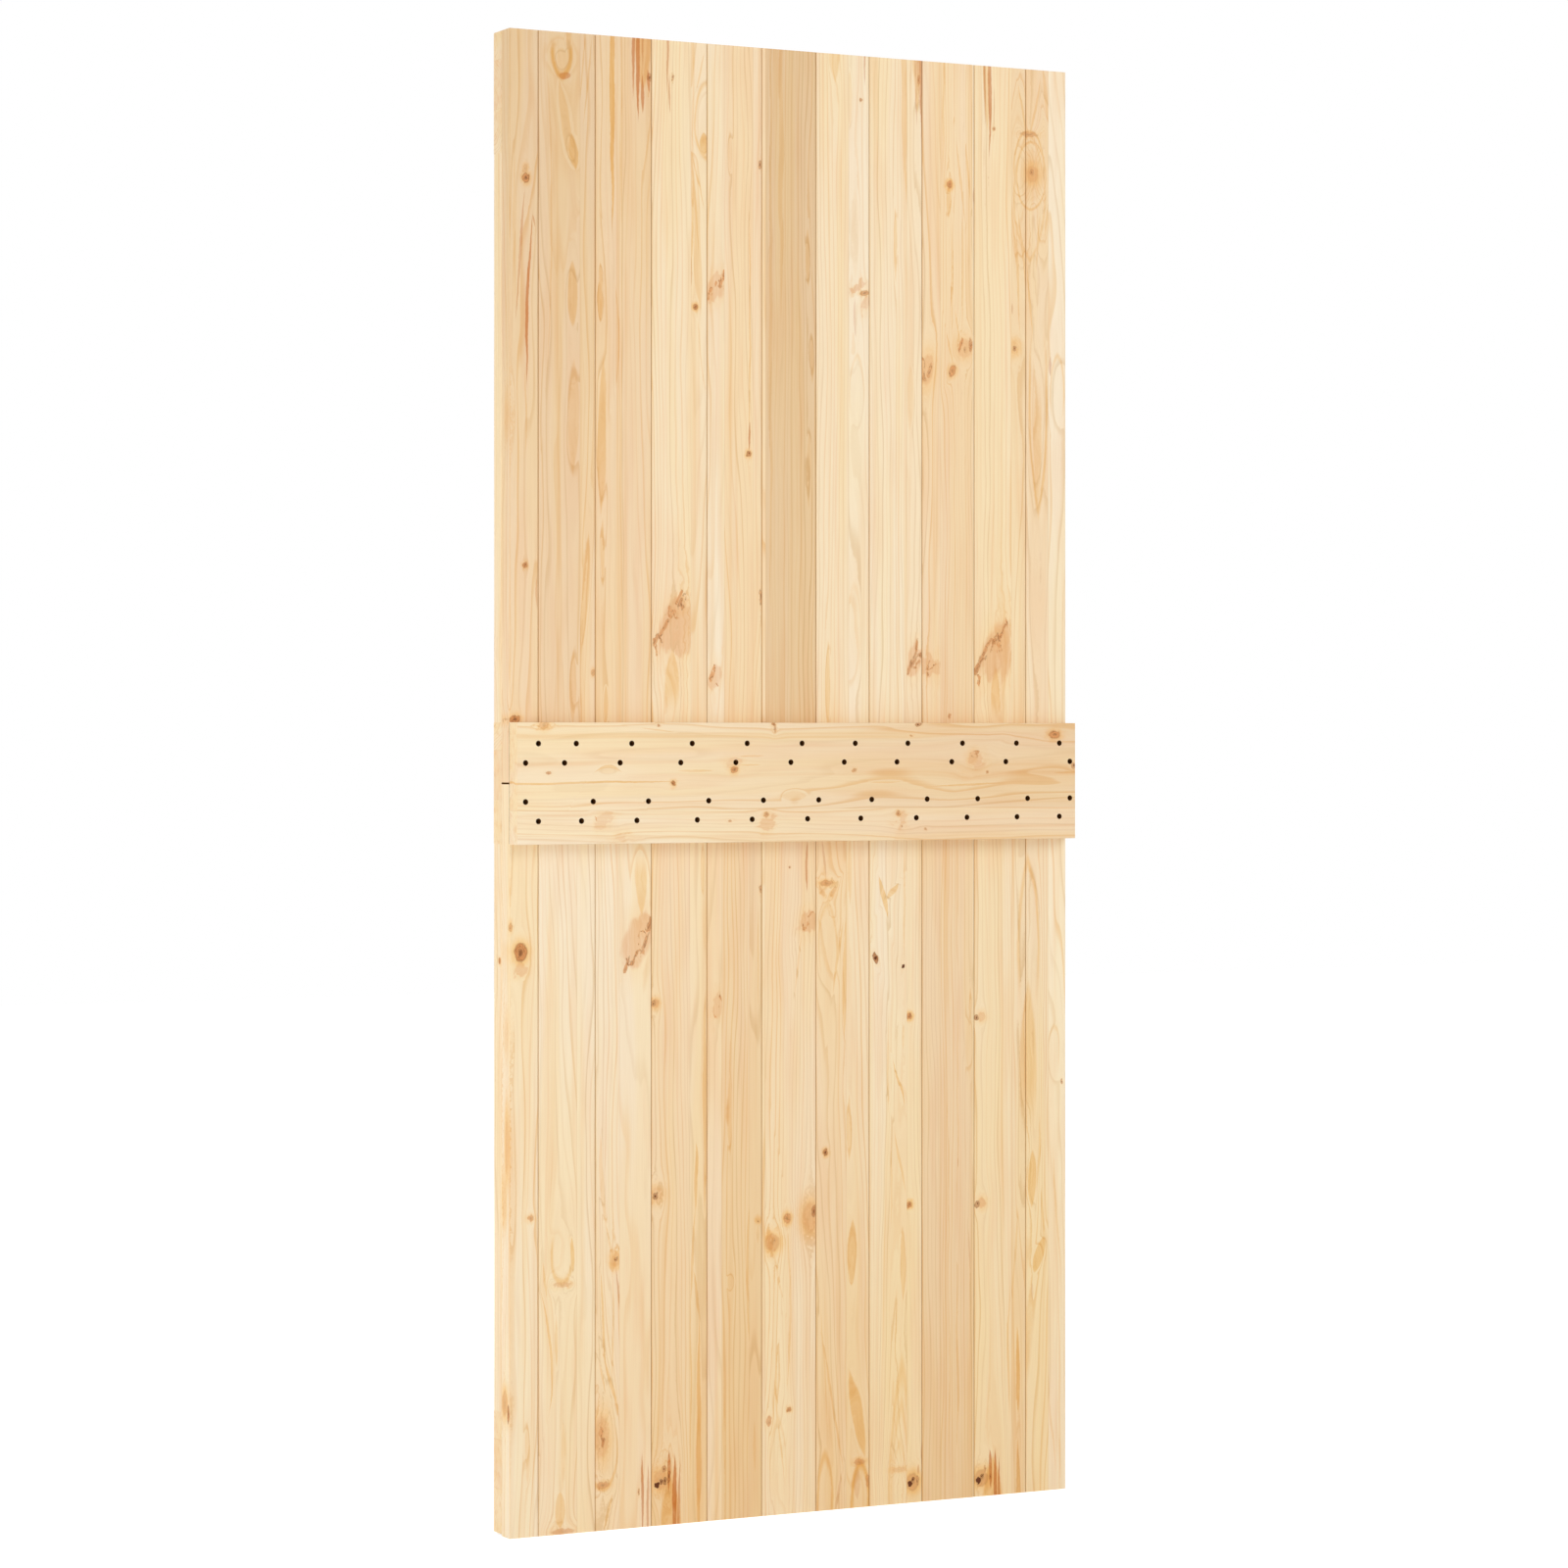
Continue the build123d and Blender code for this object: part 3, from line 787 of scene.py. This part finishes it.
         streak(517, -20, 58, 5, 0.35, lean=0.2), line(508, 50, 270, 4, 0.6, lean=-0.18),
         line(495, 120, 300, lean=-0.06)]),
    "lower_board_08": (
        [strip(569, "wheat", "cream", pith=500, out=-8), strip(631, "wheat", "straw", pith=700, out=-8)],
        [line(592, 850, 914, 8, 1.0, lean=-0.25), line(607, 876, 904, 12, 0.8, lean=0.8),
         line(628, 790, 970, 4, bend=-3), knot(579, 794, 8, 17, 20, dark=1.1, stain=0.3),
         dab(625, 781, 5, 6, dark=2.0), knot(635, 708, 10, 10, dark=0.5, stain=1.3),
         line(626, 660, 700, 4), line(618, 574, 650, 4, 0.9, lean=-0.28), line(600, 560, 720),
         line(620, 450, 545, 5, 0.6, lean=-0.22), line(605, 400, 540),
         knot(635, 434, 10, 10, dark=0.6, stain=1.3), flame(624, 290, 405, 9),
         line(612, 190, 320, 3, 0.4, lean=0.03), loop(622, -300, 216, 46, 0.5, opening=-1, roundness=0.5),
         loop(622, -160, 157, 36, 0.4, opening=-1, roundness=0.5),
         loop(620, -80, 98, 28, opening=-1, roundness=0.5),
         knot(640, 30, 22, 26, body=0.5, dark=0.3, stain=1.1), dab(636, 28, 8, 9, dark=1.9),
         dab(641, 34, 5, 6, dark=1.4), dab(649, 32, 5, 16, dark=0.9), streak(650, 40, 56, 4, 0.5),
         streak(656, 50, 88, 3, 0.5), knot(618, 50, 24, 7, body=0.2, dark=0.05, stain=0.5)]),
    "lower_board_09": (
        [strip(656.5, "oat", "fawn", pith=800, out=0), strip(687, "oat", "fawn", pith=900, out=0),
         strip(741, "wheat", "straw")],
        [flame(737, 700, 750, 4, 0.4), streak(736, 325, 400, 3, 0.3, lean=-0.04),
         flame(735, 610, 710, 14, 0.2), line(700, 300, 620, 3, 0.4), line(716, 400, 760, 3, 0.4),
         line(716, 60, 320, 4), line(702, 40, 300, 3, 0.4), streak(716, 484, 498, 2, 0.4)]),
    "lower_board_10": (
        [strip(744, "wheat", "straw", pith=650, out=20), strip(807, "corn", "straw", pith=880, out=10)],
        [*pointed_figure, knot(756, 704, 14, 14, body=0.3, dark=0, stain=0.5),
         dab(748, 703, 8, 10, dark=1.0), knot(757, 431, 15, 16, body=0.4, dark=0, stain=0.5),
         dab(749, 429, 8, 11, dark=1.0), flame(817, 110, 250, 6, 1.0), flame(818, -120, 84, 8, 0.9),
         line(802, 100, 320, 4, 0.6, bend=3), line(813, 280, 420, 4, lean=0.08),
         flame(775, -80, 60, 36, 1.0), knot(756, 27, 24, 26, body=0.5, dark=0.3, stain=1.0),
         dab(751, 24, 9, 9, dark=1.9), dab(757, 30, 5, 7, dark=1.3), dab(762, 40, 4, 12, dark=0.5),
         streak(771, 6, 72, 6, 1.0), streak(779, -60, 70, 7, 1.1), streak(786, -60, 60, 5, 1.0),
         dab(771, 28, 5, 8, dark=0.6)]),
    "lower_board_11": (
        [strip(831.5, "wheat", "straw", pith=900, out=0), strip(870, "straw", "white")],
        [*pointed_figure, loop(880, 600, 690, 20, 0.4, opening=-1), dab(893, 604, 5, 8, dark=0.9),
         flame(842, 418, 505, 14, 0.9), line(853, 440, 560, 4, 0.6, lean=0.06),
         line(860, 370, 450, 4, 0.6, lean=-0.06), flame(854, 322, 376, 17, 0.9, lean=0.3, roundness=0.6),
         streak(842, 280, 312, 4, 0.25), line(874, 20, 212, 4, lean=-0.1), line(889, -50, 300, 4),
         line(884, 300, 520, 4, lean=-0.06)]),
}
for name, (strips, marks) in boards.items():
    pine(name, strips, marks, jointed=True)

# The frame on the room side: three rails across and four stiles between them, all planed pine
# boards with their long edges eased. The boards behind are screwed to it through the batten.

def three_strips(edge, second, third):
    """A plank glued up from three strips, the middle one darker, with their edges in
    millimetres from its own."""
    return [strip(edge, "straw"), strip(edge + second, "honey"), strip(edge + third, "straw")]


rail_marks = {
    "top_rail": [
        knot(1982, 168, 12, 16, dark=0.9), knot(2054, 402, 9, 12, dark=0.6, stain=1.2),
        dab(2060, 555, 5, 7), spike(1996, 640, 30, 64, 20), dab(2000, 622, 6, 10),
        dab(1993, 656, 7, 9, dark=1.0), flame(2030, 210, 330, 14, 0.7), flame(1952, 470, 640, 10),
        line(2072, 120, 400, 3, 0.6, bend=3), knot(2072, 792, 8, 10),
        line(1962, 700, 880, 4, 0.6, lean=0.03)],
    "middle_rail": [
        knot(1082, 96, 14, 18), knot(1015, 262, 9, 11, dark=0.7, stain=1.2), dab(1110, 318, 5, 6),
        flame(1050, 330, 520, 18, 0.7), loop(1050, 300, 560, 34, 0.5), spike(1096, 700, 26, 58, -20),
        dab(1092, 716, 7, 9, dark=1.0), dab(1100, 688, 5, 12), knot(1002, 806, 10, 13, dark=0.9),
        line(990, 380, 700, 3, 0.6, bend=-3), streak(1078, 560, 640, 3, 0.5)],
    "bottom_rail": [
        knot(52, 214, 13, 17, dark=0.9), flame(118, 90, 250, 14, 0.7),
        knot(132, 428, 9, 9, dark=0.6, stain=1.2), streak(88, 470, 570, 4, 0.8),
        dab(84, 462, 6, 8, dark=1.0), flame(40, 560, 740, 12), knot(104, 690, 15, 13, stain=1.0),
        line(150, 540, 860, 3, 0.6, bend=2), dab(66, 838, 5, 7)],
}
for name, marks in rail_marks.items():
    foot = (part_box(name)[0][2] - leaf_foot) / millimetre
    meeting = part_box(name)[0][1] / millimetre if name == "middle_rail" else None
    pine(name, three_strips(foot, 62, 131), marks, level=True, over_gap=meeting)

stile_marks = {
    "upper_left_stile": [
        knot(52, 1718, 12, 15, dark=0.9), flame(120, 1560, 1720, 14, 0.7),
        knot(136, 1402, 8, 10, dark=0.7), spike(36, 1290, 24, 56, -25), dab(30, 1278, 6, 10, dark=1.0),
        dab(42, 1302, 6, 9), streak(88, 1820, 1915, 3, 0.7), line(98, 1180, 1420, 3, 0.6, bend=3)],
    "lower_left_stile": [
        knot(112, 806, 14, 17), flame(40, 600, 790, 13, 0.7), dab(150, 560, 5, 8),
        knot(60, 388, 10, 12, dark=0.9, stain=1.1), loop(118, 250, 470, 30, 0.4),
        streak(76, 176, 262, 4, 0.8), line(24, 200, 480, 3, 0.6, bend=-3),
        knot(0, 802, 4, 9, body=1.0, dark=0.5, Out=-20, Half_Depth=4)],
    "upper_right_stile": [
        knot(846, 1808, 11, 14), flame(782, 1640, 1800, 12, 0.7),
        knot(768, 1508, 9, 9, dark=0.9, stain=1.2), spike(858, 1372, 24, 60, 22),
        dab(853, 1384, 6, 10, dark=1.0), dab(864, 1360, 5, 9), line(820, 1160, 1400, 3, 0.6, bend=-3),
        flame(756, 1150, 1270, 10)],
    "lower_right_stile": [
        knot(782, 872, 12, 15, dark=0.9), streak(842, 690, 800, 4, 0.8), dab(840, 684, 6, 8, dark=1.0),
        flame(770, 520, 700, 14, 0.7), knot(862, 470, 9, 11, dark=0.7, stain=1.2),
        loop(800, 230, 430, 28, 0.4), knot(752, 262, 8, 10), line(880, 200, 420, 3, 0.6, bend=2)],
}
for name, marks in stile_marks.items():
    left = (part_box(name)[0][0] - leaf_left) / millimetre
    pine(name, three_strips(left, 58, 117), marks)

# The batten on the wall side: one planed board across the joint of the two halves, with four
# rows of recesses drilled deep for the screws that hold both halves.

batten_marks = [
    knot(1131, 40, 12, 16, body=0.4, dark=0.15), dab(1131, 217, 5, 5, dark=0.5),
    line(1124.5, 186, 244, 2.5, 0.6, lean=-0.1), line(1073, 116, 162, 5, 0.7, bend=-9),
    flame(1067, 122, 156, 8, 0.3), dab(1065, 48, 4, 9, dark=0.5),
    line(1050.5, -120, 262, 3.5, 0.9, bend=1.5), knot(1049, 240, 9, 7, dark=0.9, stain=0.8),
    line(1067, 245, 305, 4, 0.6), spike(999, 134, 30, 18, 30, 0.22), crust(1003, 126, 5, 8, 30, 0.0),
    spike(974, 160, 14, 30, 0, 0.15), knot(1133, 399, 7, 7), dab(1126, 401, 12, 4, 0, 0.5),
    knot(1068, 336, 10, 11, dark=0.6, stain=0.9), spike(1079, 337, 16, 24, 0, 0.2),
    line(1088, 344, 386, 3, 0.6), line(1074, 343, 378, 3, 0.6),
    knot(1067, 530, 6, 6, body=0.6, dark=0.5, stain=0.4), flame(1030, 410, 452, 16, 0.4),
    knot(1004, 387, 8, 8, body=0.6, dark=0.4), spike(992, 391, 26, 12, 15),
    knot(1005, 603, 9, 8, body=0.7, dark=0.5), spike(994, 605, 30, 16, 0, 0.25),
    dab(996, 330, 4, 6, dark=0.4), dab(981, 647, 5, 6, dark=0.5), dab(985, 607, 4, 4, dark=0.5),
    line(1050, 552, 610, 3, 0.6, bend=2), dab(1133, 635, 7, 9, dark=0.9), dab(1117, 624, 4, 6, dark=0.3),
    knot(1085, 726, 20, 14, turn=20, body=0.35, dark=0.0, stain=0.6), crust(1087, 726, 13, 8, 0, 0.4),
    spike(1077, 734, 22, 34, -40), dab(1063, 750, 5, 5, dark=0.5),
    knot(1118, 865, 13, 20, body=0.9, dark=0.5, stain=0.9), dab(1073, 898, 10, 8, dark=0.9),
    line(1045, 650, 790, 3, 0.7, lean=0.05), line(1062, 862, 920, 3, 0.6)]
pine("wall_side_batten",
     [strip(965, "cream", "fawn", pith=920, out=10), strip(1012, "straw", "tan", pith=1075, out=10)],
     batten_marks, level=True, drilled=True, over_gap=batten_high[1] / millimetre, contrast=0.8)

# The screws through the batten: black phosphated steel wood screws with flat heads and a
# six-lobed drive. Each is driven down to the bottom of its recess, so only the head shows.

head_radius = 3.6 * millimetre
head_height = 1.0 * millimetre
head_arris = 0.25 * millimetre
drive_radius = 1.7 * millimetre
drive_lobe = 0.28 * millimetre
drive_depth = 0.7 * millimetre
seat_sink = 0.05 * millimetre
face_margin = 2 * millimetre  # corners this close to the batten's faces belong to them

# Inside the batten only the recesses' floors have corners, and the near ones share a recess.
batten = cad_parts["wall_side_batten"]
seats = []
for corner in (vertex.co for vertex in batten.data.vertices):
    if not batten_low[1] + face_margin < corner.y < batten_high[1] - face_margin:
        continue
    near = [seat for seat in seats if (seat[0] - corner).length < 3 * head_radius]
    if near:
        near[0].append(corner)
    else:
        seats.append([corner])

head_mesh = bmesh.new()
bmesh.ops.create_cone(head_mesh, cap_ends=True, segments=24, radius1=head_radius,
                      radius2=head_radius, depth=head_height)
rim = [edge for edge in head_mesh.edges if all(vert.co.z > 0 for vert in edge.verts)]
bmesh.ops.bevel(head_mesh, geom=rim, affect="EDGES", offset=head_arris, segments=2, profile=0.5,
                material=-1)
top = max(head_mesh.faces, key=lambda face: face.calc_center_median().z)
bmesh.ops.inset_region(head_mesh, faces=[top], thickness=head_radius - head_arris - drive_radius)
for vert in top.verts:
    lobe = drive_radius + drive_lobe * math.cos(6 * math.atan2(vert.co.y, vert.co.x))
    vert.co.xy = vert.co.xy.normalized() * lobe
pit = bmesh.ops.extrude_face_region(head_mesh, geom=[top])["geom"]
bmesh.ops.translate(head_mesh, verts=[part for part in pit if isinstance(part, bmesh.types.BMVert)],
                    vec=(0, 0, -drive_depth))
bmesh.ops.delete(head_mesh, geom=[top], context="FACES_ONLY")
# The head points out of the wall side.
bmesh.ops.rotate(head_mesh, verts=head_mesh.verts, cent=(0, 0, 0),
                 matrix=Matrix.Rotation(math.radians(90), 3, "X"))
head_data = as_mesh("screw head", head_mesh)

screw_mesh = bmesh.new()
for seat in seats:
    middle = Vector([(min(corner[axis] for corner in seat) + max(corner[axis] for corner in seat)) / 2
                     for axis in range(3)])
    placed_before = len(screw_mesh.verts)
    screw_mesh.from_mesh(head_data)
    screw_mesh.verts.ensure_lookup_table()
    # Its underside sits in the recess's floor.
    bmesh.ops.translate(screw_mesh, verts=screw_mesh.verts[placed_before:],
                        vec=middle - Vector((0, head_height / 2 - seat_sink, 0)))
bpy.data.meshes.remove(head_data)

screws = linked("screws", as_mesh("screws", screw_mesh))

phosphate = bpy.data.materials.new("black phosphate")
screw_tree = empty_tree(phosphate)
screw_place = Signal(screw_tree, screw_tree.nodes.new("ShaderNodeTexCoord").outputs["Object"])
crystals = noise(screw_place, 1 / (0.4 * millimetre), 1 / (0.4 * millimetre), 2.0, 3)
screw_surface = screw_tree.nodes.new("ShaderNodeBsdfPrincipled")
plug(screw_tree, blended("MIX", crystals.rising(0.35, 0.7), srgb(58, 36, 18), srgb(84, 56, 32)),
     screw_surface.inputs["Base Color"])
screw_surface.inputs["Metallic"].default_value = 0.2
plug(screw_tree, crystals * 0.2 + 0.45, screw_surface.inputs["Roughness"])
surface_of(screw_tree, screw_surface)
screws.data.materials.append(phosphate)
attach(screws, "root")

# The floor, pale and plain, and a white room round it with four soft lamps. They are no part
# of the leaf, and only light it and set it off as in the photograph.

floor_half = 12.0  # metres
directly_seen_glow = 0.65
room_light = 0.65


def directly_seen(tree):
    """1 where a ray comes straight, by a mirror or through glass, and 0 for scattered light."""
    rays = tree.nodes.new("ShaderNodeLightPath").outputs
    return (Signal(tree, rays["Is Camera Ray"])
            .maths("MAXIMUM", Signal(tree, rays["Is Glossy Ray"]))
            .maths("MAXIMUM", Signal(tree, rays["Is Transmission Ray"])))


floor_mesh = bmesh.new()
bmesh.ops.create_grid(floor_mesh, x_segments=1, y_segments=1, size=floor_half)
bmesh.ops.translate(floor_mesh, verts=floor_mesh.verts, vec=(0, 0, leaf_foot))
floor = linked("floor", as_mesh("floor", floor_mesh))

floor_material = bpy.data.materials.new("white floor")
floor_tree = empty_tree(floor_material)
floor_paint = floor_tree.nodes.new("ShaderNodeBsdfDiffuse")
floor_paint.inputs["Color"].default_value = (0.8, 0.8, 0.8, 1)
floor_glow = floor_tree.nodes.new("ShaderNodeEmission")
plug(floor_tree, directly_seen(floor_tree) * directly_seen_glow, floor_glow.inputs["Strength"])
floor_sum = floor_tree.nodes.new("ShaderNodeAddShader")
floor_tree.links.new(floor_paint.outputs[0], floor_sum.inputs[0])
floor_tree.links.new(floor_glow.outputs[0], floor_sum.inputs[1])
surface_of(floor_tree, floor_sum)
floor.data.materials.append(floor_material)

world = bpy.data.worlds.new("white room")
bpy.context.scene.world = world
world_tree = empty_tree(world)
background = world_tree.nodes.new("ShaderNodeBackground")
background.inputs["Color"].default_value = (1, 1, 1, 1)
plug(world_tree, directly_seen(world_tree) * (1 - room_light) + room_light,
     background.inputs["Strength"])
surface_of(world_tree, background, "World")


def softbox(name, place, aim, size, power):
    """A large soft lamp at a place, turned to face a point."""
    data = bpy.data.lights.new(name, "AREA")
    data.shape = "SQUARE"
    data.size = size
    data.energy = power
    lamp = linked(name, data)
    lamp.location = place
    lamp.rotation_euler = (Vector(aim) - Vector(place)).to_track_quat("-Z", "Y").to_euler()


softbox("side softbox", (-3.4, -1.2, -1.2), (-0.45, 0.0, -1.2), 1.9, 37)
softbox("low left softbox", (-2.4, -3.2, -1.7), (-0.2, 0.0, -1.6), 1.6, 20)
softbox("high right softbox", (1.9, -3.0, 0.9), (0.3, 0.0, -0.5), 1.8, 35)
softbox("room side softbox", (1.6, 3.6, 0.4), (0.0, 0.0, -1.0), 1.9, 45)

# The camera stands level on the wall side, a little above the leaf's mid height and well off
# to its left. Its place and lens come from a fit of the photograph's perspective.

photo_size = 1600
focal_length_px = 4527
horizon_row = 751
camera_place = (-2.948, -5.702, -0.899)
camera_turn = -27.4  # degrees about the vertical
camera_data = bpy.data.cameras.new("camera")
camera_data.sensor_width = 36.0
camera_data.lens = camera_data.sensor_width * focal_length_px / photo_size
camera_data.shift_y = (horizon_row - photo_size / 2) / photo_size
camera = linked("camera", camera_data)
camera.location = camera_place
camera.rotation_euler = (math.radians(90), 0, math.radians(camera_turn))
bpy.context.scene.camera = camera
bpy.context.scene.view_settings.view_transform = "Standard"
